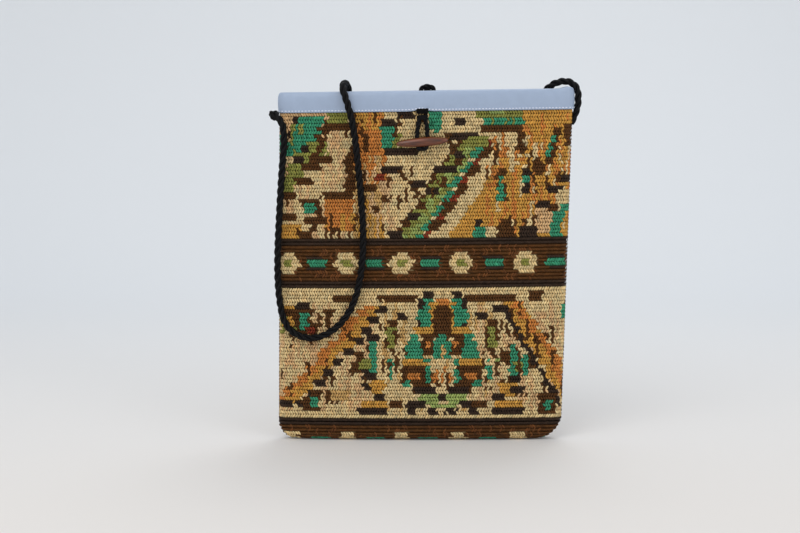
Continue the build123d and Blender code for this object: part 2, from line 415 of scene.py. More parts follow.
bars("brown", (-4, -3, 21, 24), (-2, 0, 25, 27))
bar("black", -6, -2, 28, 30)
bar("brown", -9, -6, 30, 32)
bars("black", (-14, -9, 33, 35), (-16, -9, 15, 17))
bar("red", -18, -16, 17, 19)
diagonal("brown", -10, 2, 16, 20, 1.2)
bars("brown", (-16, -14, 23, 25), (-23, -19, 20, 22), (-20, -18, 26, 28))
streaks("brown", -14, 8, 15, 34, 0.07, 4)
bars("brown", (36, 38, 6, 12), (28, 31, 16, 18))
bar("teal", 29, 30, 18, 25)
diagonal("brown", 27, 1, 18, 22, 0.3)
bar("brown", 31, 31, 20, 25)
bar("black", 38, 40, 16, 18)
bar("teal", 38, 40, 18, 20)
bar("black", 38, 40, 20, 23)
steps("brown", 50, 3, 5, 2, -0.8, 5)
steps("teal", 49, 2, 7, 2, -0.8, 3)
bars("brown", (43, 45, 13, 18), (42, 46, 15, 17))
bars("black", (53, 58, 18, 20), (48, 53, 21, 23), (44, 48, 25, 27))
bar("cream", 52, 58, 22, 26)
bar("pink", 43, 50, 27, 34)
bars("brown", (30, 33, 30, 32), (28, 34, 32, 35))
bar("black", 37, 43, 32, 35)
bars("teal", (53, 60, 26, 28), (50, 54, 28, 31), (49, 52, 31, 35))
bar("brown", 49, 51, 26, 28)
bar("teal", 20, 24, 32, 35)
bar("black", 20, 22, 30, 32)
bar("brown", 54, 58, 4, 10)
bar("cream", 24, 27, 32, 35)

# middle band of rosettes
bar("brown", -64, 64, 35, 49)
bars("black", (-64, 64, 35, 37), (-64, 64, 47, 49))
streaks("rust", -60, 60, 37, 47, 0.16, 2)
for column in (-53, -30, -9, 14, 39):
    rosette(column, 42)
for column in (-42, -19, 2, 27, 51):
    bar("black", column - 3, column + 3, 40, 44)
    bar("teal", column - 3, column + 3, 41, 43)

# lower field: a tall motif in the middle, small motifs and stepped diagonals at its sides
bar("cream", -64, 64, 49, 86)
streaks("pink", -64, -20, 53, 84, 0.42)
streaks("pink", 20, 64, 53, 84, 0.25)
streaks("tan", -16, 30, 52, 84, 0.15)
bars("brown", (-18, -2, 51, 52), (-16, -4, 52, 53), (16, 35, 51, 53), (-35, -28, 51, 53))
bar("brown", 41, 45, 50, 53)
pair("black", 0, 3, 50, 52)
pair("teal", 0, 3, 52, 55)
pair("black", -2, -1, 52, 60)
pair("teal", -2, 2, 55, 58)
pair("teal", -1, 2, 58, 61)
pair("gold", 3, 10, 53, 61)
bar("orange", 5, 9, 52, 54)
bars("brown", (4, 10, 55, 63), (5, 9, 54, 65))
pair("gold", -3, 3, 60, 62)
pair("brown", -1, 3, 62, 68)
pair("orange", 1, 2, 64, 66)
bar("teal", 6, 8, 62, 65)
pair("teal", 4, 6, 64, 69)
bar("tan", 7, 7, 65, 69)
pair("teal", -5, -3, 62, 64)
pair("teal", -6, -2, 64, 66)
pair("teal", -7, -1, 66, 69)
pair("gold", -8, 2, 69, 71)
pair("brown", -8, 0, 71, 76)
pair("orange", -6, -2, 73, 75)
pair("teal", 1, 2, 69, 77)
streaks("orange", 3, 11, 70, 78, 0.35, 3)
streaks("brown", 3, 11, 73, 78, 0.4, 3)
pair("teal", -8, -6, 75, 77)
pair("brown", -4, 2, 76, 79)
bars("black", (-3, 4, 77, 79), (10, 17, 77, 79))
pair("lime", -2, 5, 79, 82)
bar("black", 6, 8, 79, 81)
pair("black", -6, 0, 81, 83)
bar("lime", 2, 12, 82, 83)
pair("black", 2, 5, 83, 85)
pair("black", -6, -4, 83, 85)
for column in (-13, 26):
    bar("brown", column - 1, column + 2, 58, 60)
    bar("olive", column - 1, column + 1, 60, 66)
    bar("brown", column - 2, column - 2, 60, 66)
    bar("brown", column + 2, column + 2, 60, 65)
    bar("brown", column, column + 1, 66, 68)
    bar("teal", column - 1, column, 69, 75)
    bar("lime", column + 2, column + 2, 68, 73)
    streaks("brown", column - 4, column + 6, 66, 78, 0.14, 5)
pair("black", -10, -7, 56, 58)
bar("black", -18, -15, 54, 56)
bar("brown", -27, -24, 67, 73)
bar("black", -24, -19, 72, 75)
bar("teal", -21, -19, 64, 73)
bar("olive", -24, -21, 69, 72)
bar("black", -22, -18, 62, 64)
bar("brown", 31, 33, 67, 71)
bar("black", 34, 37, 73, 76)
bar("teal", 34, 36, 65, 74)
bar("olive", 36, 39, 69, 73)
bar("teal", 39, 40, 68, 74)
bars("brown", (35, 38, 62, 64), (41, 42, 67, 72))
diagonal("gold", -22, 7, 54, 82, -1.27, 1)
diagonal("orange", -25, 4, 54, 82, -1.27, 3)
streaks("brown", -57, -16, 54, 82, 0.06, 5)
for i, column in enumerate((-18, -21, -24, -27, -31, -35, -39, -42, -45, -49)):
    bar("black", column, column + 3, 54 + 3 * i, 56 + 3 * i)
diagonal("gold", 30, 8, 53, 82, 0.92, 1)
diagonal("orange", 33, 4, 53, 82, 0.92, 3)
streaks("brown", 30, 58, 53, 80, 0.16, 6)
diagonal("black", 30, 2, 54, 83, 0.83)
bar("black", 28, 32, 54, 56)
bar("gold", -55, -50, 54, 60)
streaks("olive", -57, -50, 52, 62, 0.3, 3)
bar("brown", -54, -50, 55, 57)
bar("black", -49, -45, 53, 55)
bar("brown", -50, -44, 55, 62)
bar("teal", -48, -46, 56, 61)
bars("brown", (-43, -42, 59, 63), (-39, -36, 55, 57), (-38, -37, 57, 60))
bar("red", -45, -43, 60, 62)
bar("teal", 54, 60, 54, 58)
bar("black", -57, -52, 81, 83)
bars("brown", (-47, -41, 80, 84), (-44, -41, 78, 80))
bar("teal", -44, -42, 80, 83)
bar("brown", -38, -37, 78, 82)
bar("tan", -36, -30, 78, 81)
bar("brown", 45, 51, 79, 85)
bar("teal", 47, 49, 81, 84)
bar("black", -24, -20, 76, 78)
bar("gold", -20, -16, 75, 79)
bar("black", -19, -16, 79, 81)
bar("gold", -24, -15, 81, 83)
bar("black", -25, -15, 83, 85)
bar("brown", -13, -9, 81, 83)
bar("gold", 30, 35, 76, 80)
bar("black", 27, 31, 79, 81)
bar("gold", 28, 38, 81, 83)
bar("black", 27, 38, 83, 85)
bar("brown", 19, 24, 81, 83)
bar("black", 34, 38, 77, 79)
bar("cream", -64, 64, 85, 86)

# bottom band, which turns under the fold
bar("brown", -64, 64, 86, 104)
bar("black", -64, 64, 86, 88)
streaks("rust", -60, 60, 88, 104, 0.16, 2)
for column in (-52, -30, -9, 13, 37):
    bar("cream", column - 2, column + 2, 90, 95)
    bar("cream", column - 3, column + 3, 92, 94)
for column in (-41, -19, 2, 25, 49):
    bar("teal", column - 3, column + 3, 92, 94)


def fray(seed, share):
    # a stitch at the edge of a patch sometimes takes the next patch's wool
    random = np.random.default_rng(seed)
    before = weave.copy()
    rows, columns = weave.shape
    for row in range(rows):
        for column in range(1, columns - 1):
            if before[row, column - 1] != before[row, column + 1] and random.random() < share:
                weave[row, column] = before[row, column + (1 if random.random() < 0.5 else -1)]


fray(43, 0.22)
flatRows = set(range(35, 49)) | set(range(86, 104))


def stitchTint(columns, row, seed):
    # the chart's wool for these columns, each stitch a little lighter, darker, warmer or cooler
    random = np.random.default_rng(seed + row)
    palette = linear([wool[n] for n in woolNames])
    cells = np.clip(columns + chart["half"], 0, chart["half"] * 2)
    colours = palette[weave[min(row, chart["rows"] - 1), cells]]
    light = random.normal(1, chart["light"], len(columns))[:, None]
    warm = random.normal(0, chart["warm"], len(columns))[:, None] * np.array([1, 0, -1])
    return np.clip(colours * light * (1 + warm), 0.004, 1)


# heights down the middle of a wall, and the length of cloth down to each
hidden = 2.5  # the first row starts this far up under the binding
drop = np.linspace(pouch["bindingLow"] + hidden, 0, 4000)
dropArc = arcLength(drop, halfDepth(0 * drop, drop)) - hidden
rowCount = int(dropArc[-1] / chart["stitchHigh"])
print("weave rows", rowCount)


def rowSpots(row, side):
    # evenly spaced places along one row of stitches, with the directions of the cloth there
    z = np.interp((row + 0.5) * chart["stitchHigh"], dropArc, drop)
    xs = np.sin(np.linspace(-1, 1, 1600) * math.pi / 2) * (pouch["reach"] + 1)
    xs = xs[inset(xs, z + 0 * xs) > 0.001]
    arc = arcLength(xs, halfDepth(xs, z))
    arc = arc - np.interp(0, xs, arc)
    first = math.ceil(arc[0] / chart["stitchWide"])
    columns = np.arange(first, int(arc[-1] / chart["stitchWide"]) + 1)
    x = np.interp(columns * chart["stitchWide"], arc, xs)
    z = z + 0 * x
    nudge = 0.15
    alongX = (halfDepth(x + nudge, z) - halfDepth(x - nudge, z)) / (2 * nudge)
    alongZ = (halfDepth(x, z + nudge) - halfDepth(x, z - nudge)) / (2 * nudge)
    outward = unit(np.stack([-alongX, side + 0 * x, -alongZ], -1))
    along = unit(np.stack([1 + 0 * x, side * alongX, 0 * x], -1))
    upward = -side * np.cross(outward, along)
    place = np.stack([x, side * halfDepth(x, z), z], -1)
    return columns, place, outward, along, upward


def eulers(across, lengthwise, outward):
    turn = np.stack([across, lengthwise, outward], -1)
    aboutY = -np.arcsin(np.clip(turn[:, 2, 0], -1, 1))
    aboutX = np.arctan2(turn[:, 2, 1], turn[:, 2, 2])
    aboutZ = np.arctan2(turn[:, 1, 0], turn[:, 0, 0])
    return np.stack([aboutX, aboutY, aboutZ], -1)


stitch = dict(
    wide=0.8,
    long=1.72,
    thick=0.66,
    sink=0.55,
    slant=37,  # degrees from upright, to the left and right in turn
    flatSlant=70,  # the dark wool of the two bands lies flatter
    slantScatter=4,
    placeScatter=(0.06, 0.07),  # along the row and outward
    sizeScatter=0.05,
    sides=5,
)


def grainMesh(name, sides=5):
    # one plump stitch: two tips and three rings, unit half sizes
    rings = ((-0.62, 0.72), (0.0, 1.0), (0.62, 0.72))
    places = [(0, -1, 0)]
    for y, radius in rings:
        for k in range(sides):
            a = 2 * math.pi * (k + 0.25) / sides
            places.append((radius * math.cos(a), y, radius * math.sin(a)))
    places.append((0, 1, 0))
    faces = []
    for k in range(sides):
        n = (k + 1) % sides
        faces.append((0, 1 + k, 1 + n))
        for ring in range(len(rings) - 1):
            a = 1 + ring * sides
            faces.append((a + k, a + sides + k, a + sides + n, a + n))
        last = 1 + (len(rings) - 1) * sides
        faces.append((last + k, len(places) - 1, last + n))
    return newMesh(name, places, faces)


def scatter(name, shape, places, turns, sizes, tints, material):
    # copies of one shape on a cloud of points, each with its own turn, size and tint
    cloud = bpy.data.meshes.new(name + "Spots")
    cloud.from_pydata([tuple(p) for p in places], [], [])
    for key, kind, slot, values in (
        ("turn", "FLOAT_VECTOR", "vector", turns),
        ("size", "FLOAT_VECTOR", "vector", sizes),
        ("tint", "FLOAT_COLOR", "color", np.concatenate([tints, 1 + 0 * tints[:, :1]], 1)),
    ):
        attribute = cloud.attributes.new(key, kind, "POINT")
        attribute.data.foreach_set(slot, np.ascontiguousarray(values, np.float32).ravel())
    holder = newPiece(name + "Holder", cloud)
    sample = newPiece(name + "Sample", shape)
    tree = bpy.data.node_groups.new(name, "GeometryNodeTree")
    tree.interface.new_socket("Geometry", in_out="INPUT", socket_type="NodeSocketGeometry")
    tree.interface.new_socket("Geometry", in_out="OUTPUT", socket_type="NodeSocketGeometry")
    entry = tree.nodes.new("NodeGroupInput")
    leave = tree.nodes.new("NodeGroupOutput")
    source = tree.nodes.new("GeometryNodeObjectInfo")
    put(source, {"Object": sample})
    copies = tree.nodes.new("GeometryNodeInstanceOnPoints")
    asTurn = tree.nodes.new("FunctionNodeEulerToRotation")
    turnNode, sizeNode = (tree.nodes.new("GeometryNodeInputNamedAttribute") for _ in range(2))
    for node, key in ((turnNode, "turn"), (sizeNode, "size")):
        node.data_type = "FLOAT_VECTOR"
        put(node, {"Name": key})
    realize = tree.nodes.new("GeometryNodeRealizeInstances")
    paint = tree.nodes.new("GeometryNodeSetMaterial")
    put(paint, {"Material": material})
    wire(
        tree,
        (entry, "Geometry", copies, "Points"),
        (source, "Geometry", copies, "Instance"),
        (turnNode, "Attribute", asTurn, "Euler"),
        (asTurn, "Rotation", copies, "Rotation"),
        (sizeNode, "Attribute", copies, "Scale"),
        (copies, "Instances", realize, "Geometry"),
        (realize, "Geometry", paint, "Geometry"),
        (paint, "Geometry", leave, "Geometry"),
    )
    holder.modifiers.new("scatter", "NODES").node_group = tree
    depsgraph = bpy.context.evaluated_depsgraph_get()
    made = bpy.data.meshes.new_from_object(
        holder.evaluated_get(depsgraph), preserve_all_data_layers=True, depsgraph=depsgraph
    )
    bpy.data.objects.remove(holder)
    bpy.data.objects.remove(sample)
    bpy.data.node_groups.remove(tree)
    made.name = name
    return newPiece(name, made)


def stitchPiece(name, wanted, seed):
    random = np.random.default_rng(seed)
    places, turns, sizes, tints = [], [], [], []
    for side in (-1, 1):
        for row in range(rowCount):
            columns, place, outward, along, upward = rowSpots(row, side)
            keep = wanted(place[:, 0], place[:, 2], side)
            if not keep.any():
                continue
            columns, place, outward = columns[keep], place[keep], outward[keep]
            along, upward = along[keep], upward[keep]
            count = len(columns)
            charted = np.clip(columns * -side + chart["half"], 0, 2 * chart["half"])
            cells = weave[min(row, chart["rows"] - 1), charted]
            dark = (cells == woolNames.index("brown")) | (cells == woolNames.index("black"))
            slant = np.where(dark & (row in flatRows), stitch["flatSlant"], stitch["slant"])
            lean = (1 if row % 2 else -1) * slant + random.normal(0, stitch["slantScatter"], count)
            lean = np.radians(lean)[:, None]
            lengthwise = upward * np.cos(lean) + along * np.sin(lean)
            across = np.cross(lengthwise, outward)
            shift, lift = stitch["placeScatter"]
            place = place + outward * (random.normal(0, lift, count) - stitch["sink"])[:, None]
            place = place + along * random.normal(0, shift, count)[:, None]
            size = np.stack([0 * lean[:, 0] + stitch[k] for k in ("wide", "long", "thick")], -1)
            places.append(skewed(place) * mm)
            turns.append(eulers(across, lengthwise, outward))
            sizes.append(size * random.normal(1, stitch["sizeScatter"], (count, 1)) * mm)
            tints.append(stitchTint(columns * (-side), row, chart["seed"] + 500 * (side + 1)))
    return scatter(
        name,
        grainMesh(name + "Grain", stitch["sides"]),
        *[np.concatenate(a) for a in (places, turns, sizes, tints)],
        woolMaterial,
    )


def followFront(piece):
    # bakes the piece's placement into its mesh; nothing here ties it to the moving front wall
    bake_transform(piece)


fold = pouch["foldHigh"]


def wallHalf(wall, sign):
    # which stitches belong to one half of the front (-1) or back (1) wall
    return lambda x, z, side: (side == wall) & (x * sign > 0) & (z > fold)


halves = (("Left", -1), ("Right", 1))
for name, sign in halves:
    front = stitchPiece("frontStitches" + name, wallHalf(-1, sign), 21)
    followFront(front)
    back = stitchPiece("backStitches" + name, wallHalf(1, sign), 22)
    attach(back, "pouch")
baseStitches = stitchPiece("baseStitches", lambda x, z, side: z <= fold, 23)
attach(baseStitches, "pouch")
print("stitches done", len(baseStitches.data.polygons))


# ---- backing cloth and lining: closed shells between two depths under the surface
def limits(z, inward):
    # the left and right edges of a wall at this height
    xs = np.linspace(-108, 108, 2161)
    inside = xs[inset(xs, z + 0 * xs) >= inward]
    return (inside[0], inside[-1]) if len(inside) else None


def layer(z, under, side, half):
    # half is -1 or 1 for one half of the width, 0 for the whole
    z = under + z * (1 - under / pouch["high"])
    ends = limits(z, under)
    reach = np.sin(np.linspace(0, 1, backing["across"]) * math.pi / 2)
    if half:
        x = ends[0 if half < 0 else 1] * reach
        x = x[::-1] if half < 0 else x
    else:
        x = np.concatenate([ends[0] * reach[::-1], ends[1] * reach[1:]])
    share = np.clip((inset(x, z + 0 * x) - under) / pouch["edgeRound"], 0, 1)
    y = side * np.maximum((fullDepth(x) - under) * np.sqrt(1 - (1 - share) ** 2), 0.02)
    return np.stack([x, y, z + 0 * x], -1)


# the cloth under the stitches takes their colours, darkened into painted shade for the gaps between stitches,
# with less of it under the flatter stitches of the two bands
backing = dict(outer=0.85, inner=1.7, paintedGapShade=0.2, paintedBandShade=0.5, seed=5, across=48, rows=94, top=243.6)
lining = dict(outer=2.9, inner=3.35)


def sheetPiece(name, path, outer, inner, material, tinted, half=0):
    # path lists (height, side) from one edge of the cloth to the other
    shells = [[layer(z, u, side, half) for z, side in path] for u in (outer, inner)]
    count = len(shells[0][0])
    rows = len(path)
    places = np.concatenate([np.concatenate(s) for s in shells])
    faces = gridFaces(rows, count)
    other = [tuple(rows * count + i for i in reversed(f)) for f in faces]
    rim = list(range(count)) + [i * count + count - 1 for i in range(1, rows)]
    rim += [(rows - 1) * count + j for j in range(count - 2, -1, -1)]
    rim += [i * count for i in range(rows - 2, 0, -1)]
    edge = [(a, a + rows * count, b + rows * count, b) for a, b in zip(rim, rim[1:] + rim[:1])]
    mesh = newMesh(name, skewed(places) * mm, faces + other + edge, material)
    if path[0][1] > 0:
        mesh.flip_normals()
    if tinted:
        tints = []
        for z, side in path * 2:
            row = int(np.interp(-z, -drop, dropArc) / chart["stitchHigh"])
            line = layer(z, outer, side, half)
            # painted shade: the stitch colours darkened where the gaps between stitches show this cloth
            paintedGapShade = backing["paintedBandShade"] if row in flatRows else backing["paintedGapShade"]
            columns = np.round(line[:, 0] / chart["stitchWide"]).astype(int) * (-side)
            tints.append(stitchTint(columns, max(row, 0), backing["seed"]) * paintedGapShade)
        values = np.concatenate(tints)
        values = np.concatenate([values, 1 + 0 * values[:, :1]], 1)
        attribute = mesh.attributes.new("tint", "FLOAT_COLOR", "POINT")
        attribute.data.foreach_set("color", values.astype(np.float32).ravel())
    return newPiece(name, mesh)


frontPath = [(z, -1) for z in np.linspace(backing["top"], fold, backing["rows"])]
bend = [6.6, 4.2, 2.4, 1.1, 0.35]  # heights where the back's cloth turns under the base
backPath = [(z, 1) for z, _ in frontPath] + [(z, 1) for z in bend]
backPath += [(z, -1) for z in bend[::-1]] + [(fold - 0.3, -1)]
frontCloth = []
frontLining = []
ofCloth = (backing["outer"], backing["inner"], backingMaterial, True)
ofLining = (lining["outer"], lining["inner"], liningMaterial, False)
for name, half in halves:
    frontCloth.append(sheetPiece("frontCloth" + name, frontPath, *ofCloth, half))
    frontLining.append(sheetPiece("frontLining" + name, frontPath, *ofLining, half))
backCloth = sheetPiece("backCloth", backPath, *ofCloth)
backLining = sheetPiece("backLining", backPath, *ofLining)
print("cloths done")

# ---- the binding round the mouth, and its topstitching
binding = dict(
    step=0.5,
    creases=12,
    crease=0.075,
    endJoin=3.5,
    creaseSlant=6,
    thinOver=14,  # its inner side thins out over this length at each end
    thinTo=0.3,
    rootPlace=-2.5,  # the toggle cord's root lifts its lower edge here
    rootWide=5.0,
    rootLift=1.3,
    rootOut=0.9,
    rootFrom=5,  # from this far below the rim downward
    bumpPlace=99.0,  # and the right corner stands up a little
    bumpWide=4,
    bump=1.3,
    bumpFrom=9,
    fadeOver=9,
)
# (distance out from the cloth, height), from the lower edge in front over the rim and down inside
bindingSection = (
    (0.55, 231.0),
    (0.95, 231.1),
    (1.12, 231.8),
    (0.98, 232.7),
    (1.10, 234.0),
    (1.22, 236.5),
    (1.2, 239.5),
    (1.0, 242.0),
    (0.45, 243.9),
    (-0.5, 244.9),
    (-1.6, 245.1),
    (-2.7, 244.5),
    (-3.5, 242.8),
    (-3.8, 239.0),
    (-3.9, 235.0),
    (-3.9, 231.6),
    (-3.4, 231.0),
)
turnAngles = np.linspace(-1, 1, 3000) * math.pi / 2
ringHigh = 239.0
ringLimits = limits(ringHigh, 0.0)
ringX = (ringLimits[0] + ringLimits[1]) / 2 + np.sin(turnAngles) * (ringLimits[1] - ringLimits[0]) / 2
ringY = halfDepth(ringX, ringHigh + 0 * ringX)
loopX = np.concatenate([ringX, ringX[::-1][1:]])
loopY = np.concatenate([-ringY, ringY[::-1][1:]])
loopArc = arcLength(loopX, loopY)
spots = np.linspace(0, loopArc[-1], int(loopArc[-1] / binding["step"]) + 1)
ring = np.stack([np.interp(spots, loopArc, loopX), np.interp(spots, loopArc, loopY)], -1)
tangent = unit(np.roll(ring[:-1], -1, 0) - np.roll(ring[:-1], 1, 0))
tangent = np.concatenate([tangent, tangent[:1]])
ringOut = np.stack([tangent[:, 1], -tangent[:, 0]], -1)
ringNoise = np.random.default_rng(7)
waves = [
    (2 * math.pi * n / loopArc[-1], ringNoise.uniform(0, 6.28), ringNoise.uniform(-0.05, 0.05))
    for n in ringNoise.integers(3, 36, binding["creases"])
]


topstitch = dict(
    pitch=2.3,
    long=0.86,
    wide=0.42,
    high=232.2,
    out=1.15,
    dent=0.16,  # each stitch draws the cloth in above it
    dentHigh=232.9,
    dentWide=0.8,
)


def hump(away, wide):
    return math.exp(-((away / wide) ** 2))


def bindingPoint(place, outward, arc, offset, z):
    toEnd = min(place[0] - ringLimits[0], ringLimits[1] - place[0])
    near = min(max(toEnd / binding["thinOver"], 0), 1)
    if offset < 0:
        offset *= binding["thinTo"] + (1 - binding["thinTo"]) * near * near * (3 - 2 * near)
    root = hump(place[0] - binding["rootPlace"], binding["rootWide"]) if place[1] < 0 else 0
    lowPart = max(0, (pouch["high"] - binding["rootFrom"] - z) / binding["fadeOver"])
    z = z + binding["rootLift"] * root * lowPart
    bump = hump(place[0] - binding["bumpPlace"], binding["bumpWide"])
    z = z + binding["bump"] * bump * max(0, (z - pouch["high"] + binding["bumpFrom"]) / binding["fadeOver"])
    if offset > 0:
        slant = binding["creaseSlant"]
        offset += binding["rootOut"] * root * lowPart
        offset += binding["crease"] * sum(math.sin(k * arc + p + b * z * slant) for k, p, b in waves)
        dent = hump(z - topstitch["dentHigh"] - binding["rootLift"] * root, topstitch["dentWide"])
        offset -= topstitch["dent"] * dent * (0.5 + 0.5 * math.cos(2 * math.pi * arc / topstitch["pitch"]))
    spot = place + outward * offset
    return (spot[0], spot[1], z)


def bindingPiece(name, indices):
    places = []
    for i in indices:
        for offset, z in bindingSection:
            places.append(bindingPoint(ring[i], ringOut[i], spots[i], offset, z))
    n = len(bindingSection)
    faces = gridFaces(len(indices), n, closed=True)
    # the end faces have corners of their own, so the shading runs straight up to the join
    wall = len(places)
    places += places[:n] + places[wall - n : wall]
    faces.append(tuple(wall + i for i in range(n - 1, -1, -1)))
    faces.append(tuple(wall + n + i for i in range(n)))
    faces = [tuple(reversed(f)) for f in faces]
    return newPiece(name, newMesh(name, skewed(places) * mm, faces, bindingMaterial))


total = len(ring) - 1
inFront = [
    i
    for i in range(total)
    if ring[i, 1] < 0 and ringLimits[0] + binding["endJoin"] < ring[i, 0] < ringLimits[1] - binding["endJoin"]
]
behind = list(range(inFront[-1], total)) + list(range(0, inFront[0] + 1))
middle = next(k for k, i in enumerate(inFront) if ring[i, 0] >= 0)
frontHalves = (("Left", inFront[: middle + 1]), ("Right", inFront[middle:]))
frontBinding = [bindingPiece("frontBinding" + name, indices) for name, indices in frontHalves]
backBinding = bindingPiece("backBinding", behind)


def dashes(name, indices):
    places, turns = [], []
    wantedArc = np.arange(0, loopArc[-1], topstitch["pitch"])
    low, high = spots[indices[0]], spots[indices[-1]]
    for arc in wantedArc:
        inside = low <= arc < high if low < high else arc >= low or arc < high
        if not inside:
            continue
        i = min(int(round(arc / binding["step"])), total - 1)
        place = np.array([np.interp(arc, loopArc, loopX), np.interp(arc, loopArc, loopY)])
        spot = bindingPoint(place, ringOut[i], arc, topstitch["out"], topstitch["high"])
        places.append(spot)
        along = np.array([tangent[i, 0], tangent[i, 1], 0.03])
        out = np.array([ringOut[i, 0], ringOut[i, 1], 0])
        turns.append((np.cross(along, out), along, out))
    across, lengthwise, out = (unit(np.array([t[k] for t in turns])) for k in range(3))
    plain = np.ones((len(places), 3))
    size = plain * (topstitch["wide"], topstitch["long"], topstitch["wide"]) * mm
    turn = eulers(across, lengthwise, out)
    shape = grainMesh(name + "Grain", 8)
    return scatter(name, shape, skewed(places) * mm, turn, size, plain, threadMaterial)


frontTopstitch = [dashes("frontTopstitch" + name, indices) for name, indices in frontHalves]
backTopstitch = dashes("backTopstitch", behind)
print("binding done")


# ---- cords
def curveLine(name, route, resolution):
    curve = bpy.data.curves.new(name, "CURVE")
    curve.dimensions = "3D"
    curve.resolution_u = resolution
    spline = curve.splines.new("NURBS")
    spline.points.add(len(route) - 1)
    for point, place in zip(spline.points, route):
        point.co = (*place, 1)
    spline.order_u = 3
    spline.use_endpoint_u = True
    holder = newPiece(name, curve)
    mesh = bpy.data.meshes.new_from_object(holder)
    line = np.array([v.co[:] for v in mesh.vertices])
    bpy.data.objects.remove(holder)
    return line


def twisted(name, lines, width, lay, strands=3, sides=9, material=cordMaterial):
    # each line becomes a cord of that many strands, laid round it
    places, faces = [], []
    for line in lines:
        arc = arcLength(*line.T)
        along = unit(np.gradient(line, axis=0))
        side = unit(np.cross(along[0], (0.31, 0.17, 0.93)))
        radius = width / 2 / (1 + 1 / math.sin(math.pi / strands)) * 1.1 if strands > 1 else width / 2
        off = width / 2 - radius
        frames = []
        for direction in along:
            side = unit(side - direction * np.dot(side, direction))
            frames.append((side, np.cross(direction, side)))
        for k in range(strands):
            start = len(places)
            for i, (a, b) in enumerate(frames):
                turn = 2 * math.pi * (arc[i] / lay + k / strands)
                centre = line[i] + off * (math.cos(turn) * a + math.sin(turn) * b)
                for j in range(sides):
                    t = 2 * math.pi * j / sides
                    places.append(centre + radius * (math.cos(t) * a + math.sin(t) * b))
            rows = len(frames)
            faces += [tuple(start + v for v in f) for f in gridFaces(rows, sides, closed=True)]
            faces.append(tuple(start + v for v in range(sides - 1, -1, -1)))
            faces.append(tuple(start + (rows - 1) * sides + v for v in range(sides)))
    return newPiece(name, newMesh(name, places, faces, material))


strapRoute = [
    (-0.1042, -0.0038, 0.2286),
    (-0.0978, -0.0098, 0.2256),
    (-0.0966, -0.0090, 0.2110),
    (-0.0986, -0.0086, 0.1900),
    (-0.1004, -0.0083, 0.1630),
    (-0.1024, -0.0081, 0.1280),
    (-0.1016, -0.0083, 0.1020),
    (-0.0975, -0.0090, 0.0815),
    (-0.0850, -0.0100, 0.0730),
    (-0.0710, -0.0108, 0.0740),
    (-0.0560, -0.0115, 0.0850),
    (-0.0465, -0.0119, 0.1040),
    (-0.0422, -0.0122, 0.1320),
    (-0.0430, -0.0124, 0.1620),
    (-0.0456, -0.0126, 0.1920),
    (-0.0486, -0.0129, 0.2200),
    (-0.0534, -0.0133, 0.2380),
    (-0.0564, -0.0122, 0.2464),
    (-0.0559, -0.0066, 0.2499),
    (-0.0544, 0.0064, 0.2501),
    (-0.0528, 0.0126, 0.2458),
    (-0.0520, 0.0135, 0.2370),
    (-0.0510, 0.0129, 0.2170),
    (-0.0486, 0.0124, 0.1820),
    (-0.0468, 0.0125, 0.1380),
    (-0.0390, 0.0128, 0.0930),
    (-0.0230, 0.0130, 0.0540),
    (0.0010, 0.0131, 0.0260),
    (0.0270, 0.0129, 0.0200),
    (0.0490, 0.0124, 0.0380),
    (0.0610, 0.0120, 0.0740),
    (0.0650, 0.0118, 0.1160),
    (0.0710, 0.0116, 0.1600),
    (0.0750, 0.0115, 0.1970),
    (0.0776, 0.0120, 0.2240),
    (0.0825, 0.0114, 0.2430),
    (0.0900, 0.0077, 0.2504),
    (0.0998, 0.0030, 0.2520),
    (0.1060, 0.0006, 0.2469),
    (0.1065, 0.0000, 0.2360),
    (0.1038, 0.0012, 0.2270),
    (0.1018, 0.0026, 0.2225),
]
strapCord = dict(width=0.0051, lay=0.018, length=0.94, diameter=0.005)
strapLine = curveLine("strapLine", strapRoute, 24)
strap = twisted("shoulderCord", [strapLine], strapCord["width"], strapCord["lay"])
print("strap length", arcLength(*strapLine.T)[-1])

knotPlace = dict(centre=(-0.1040, -0.0040, 0.2283), size=0.00085, cord=0.0029)
t = np.linspace(0, 2 * math.pi, 120)
trefoil = np.stack([np.sin(t) + 2 * np.sin(2 * t), -np.sin(3 * t) * 1.2, np.cos(t) - 2 * np.cos(2 * t)], -1)
knotLine = trefoil * knotPlace["size"] + np.array(knotPlace["centre"])
strapKnot = twisted("strapKnot", [knotLine], knotPlace["cord"], 0.012)

hang = dict(x=-1.7, y=-11.3, z=227.2, lean=math.asin(1.8 / 17.2), rootSlope=0.68, rootBack=2.95)


def hung(across, down, forward=0.0):
    # a point of the plane that the toggle cord hangs in, in metres
    y = hang["y"] - down * math.sin(hang["lean"]) - forward * math.cos(hang["lean"])
    z = hang["z"] - down * math.cos(hang["lean"]) + forward * math.sin(hang["lean"])
    return np.array([hang["x"] + across, y, z]) * mm


dropCord = dict(width=0.0033, lay=0.0125)
strand = [(1.75, 0.3), (2.5, 3.0), (3.3, 8.0), (3.5, 14.0), (3.5, 19.0), (2.3, 22.0)]
dropRoute = [hung(-a, d) for a, d in strand] + [hung(a, d) for a, d in reversed(strand)]
toggleCord = twisted("toggleCord", [curveLine("dropLine", dropRoute, 12)], dropCord["width"], dropCord["lay"])


def wraps(name, spot, wide, thick, low, high, turns, thread):
    # thread wound round a flat bundle, from low to high
    a = np.linspace(0, 2 * math.pi * turns, int(turns * 26))
    c, s = np.cos(a), np.sin(a)
    across = np.sign(c) * np.abs(c) ** 0.75 * wide
    through = np.sign(s) * np.abs(s) ** 0.85 * thick
    down = np.linspace(high, low, len(a))
    line = np.array([spot(p, d, f) for p, d, f in zip(across, down, through)])
    return twisted(name, [line], thread, 0.004, strands=2, sides=7)


def rootSpot(across, down, forward):
    # thinner in front towards its lower end, where the swung toggle cord folds up
    return hung(across, down, min(forward, hang["rootSlope"] * -down - hang["rootBack"]))


